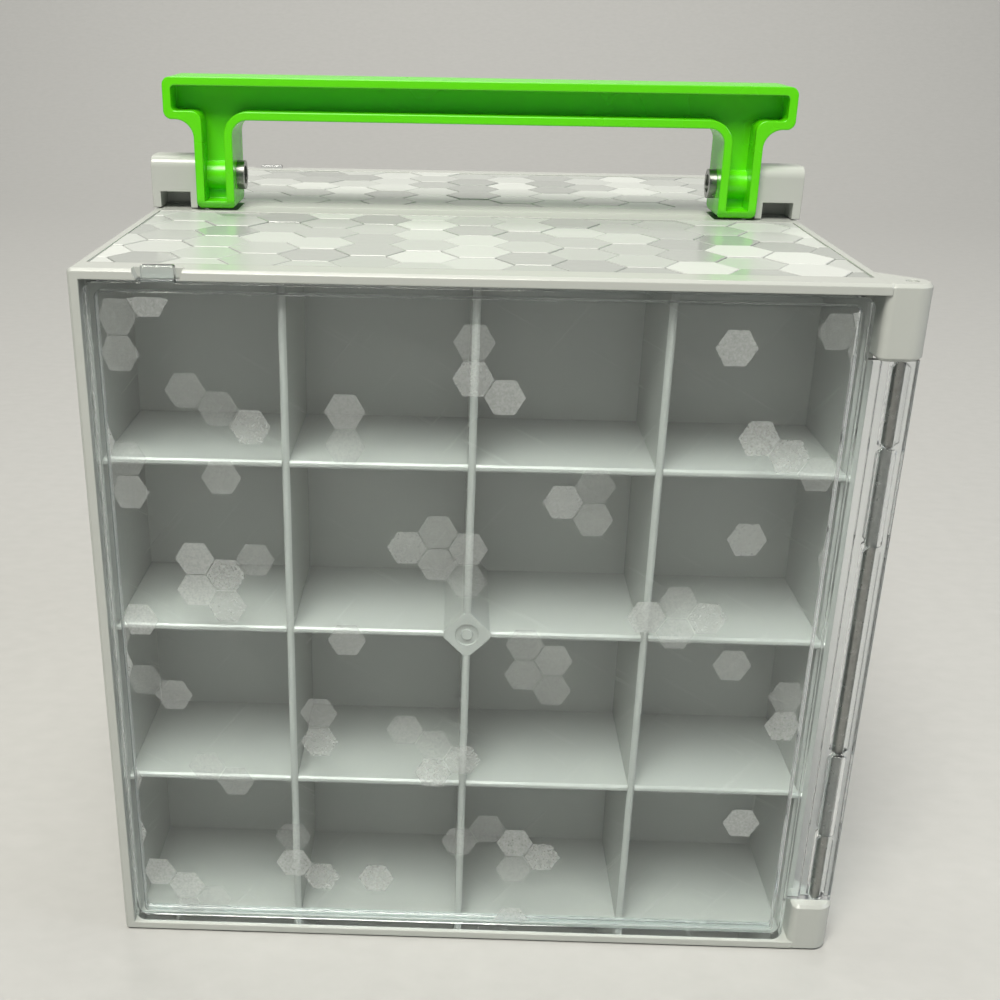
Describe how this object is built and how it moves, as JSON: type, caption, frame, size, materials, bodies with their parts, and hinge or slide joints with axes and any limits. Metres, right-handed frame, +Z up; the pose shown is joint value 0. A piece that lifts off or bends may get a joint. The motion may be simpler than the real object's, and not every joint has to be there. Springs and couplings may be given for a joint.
{
  "type": "figure storage case",
  "caption": "Cube display case for small figures: two halves of open cells behind clear hinged doors, opening like a book, with a folding carry handle.",
  "frame": {"origin": "on the ground, in the middle of the shut case's footprint; the seam between its halves is at y = 0", "axes": "+X to the right as seen from the front door, +Y from the front door to the rear door, +Z up"},
  "size_m": [0.2094, 0.19, 0.2272],
  "materials": {
    "case_moulding": "gloss moulded",
    "clear_door": "clear polished",
    "handle_green": "gloss moulded",
    "steel": "turned"
  },
  "bodies": {
    "rear_half": {"rear_shell": "case_moulding", "rear_display_dividers": "case_moulding", "rear_inner_dividers": "case_moulding", "rear_door_rod": "steel", "upper_book_hinge_pin": "steel", "lower_book_hinge_pin": "steel", "left_handle_pin": "steel", "right_handle_pin": "steel"},
    "front_half": {"front_shell": "case_moulding", "front_display_dividers": "case_moulding", "front_inner_dividers": "case_moulding", "front_door_rod": "steel"},
    "front_door": {"front_door": "clear_door"},
    "rear_door": {"rear_door": "clear_door"},
    "handle": {"handle": "handle_green"}
  },
  "joints": [
    {"name": "case_open", "type": "hinge", "parent": "rear_half", "child": "front_half", "pos_m": [-0.1002, 0, 0.095], "axis": [0, 0, -1], "range_deg": [0, 180]},
    {"name": "front_door_open", "type": "hinge", "parent": "front_half", "child": "front_door", "pos_m": [0.1, -0.0903, 0.095], "axis": [0, 0, 1], "range_deg": [0, 180]},
    {"name": "rear_door_open", "type": "hinge", "parent": "rear_half", "child": "rear_door", "pos_m": [0.1, 0.0903, 0.095], "axis": [0, 0, -1], "range_deg": [0, 180]},
    {"name": "handle_fold", "type": "hinge", "parent": "rear_half", "child": "handle", "pos_m": [0, 0, 0.1993], "axis": [1, 0, 0], "range_deg": [-90, 90]}
  ]
}
